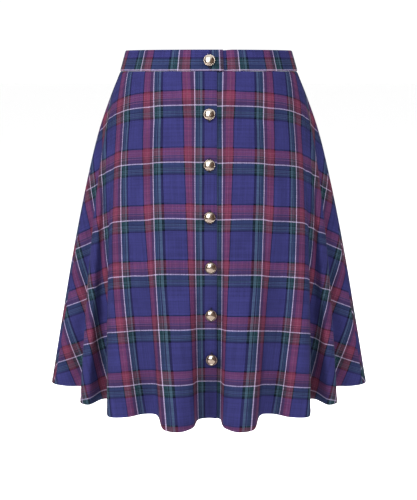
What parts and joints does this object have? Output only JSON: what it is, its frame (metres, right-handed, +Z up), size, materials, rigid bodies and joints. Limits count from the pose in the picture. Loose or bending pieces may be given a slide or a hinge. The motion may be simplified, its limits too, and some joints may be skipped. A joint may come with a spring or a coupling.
{
  "type": "skater skirt",
  "caption": "Flared knee-length check skirt on a contoured waistband, buttoned down the centre front, hem falling in soft flutes, kept in its worn, hollow form",
  "frame": {"origin": "centre of the waist opening at the middle height of the waistband, where the wearer's waist holds the skirt", "axes": "+Z up, -Y toward the front with the buttons, +X toward the left of a wearer's skirt (image right)"},
  "size_m": [0.5196, 0.3853, 0.5567],
  "materials": {
    "waistband_cloth": "woven check, matt",
    "skirt_cloth": "woven check, matt",
    "button_metal": "pale polished metal"
  },
  "bodies": {
    "root": {"waistband_right": "waistband_cloth", "waistband_left": "waistband_cloth", "front_right": "skirt_cloth", "front_left": "skirt_cloth", "back_right": "skirt_cloth", "back_left": "skirt_cloth", "button_1": "button_metal", "button_2": "button_metal", "button_3": "button_metal", "button_4": "button_metal", "button_5": "button_metal", "button_6": "button_metal", "button_7": "button_metal"}
  },
  "joints": []
}
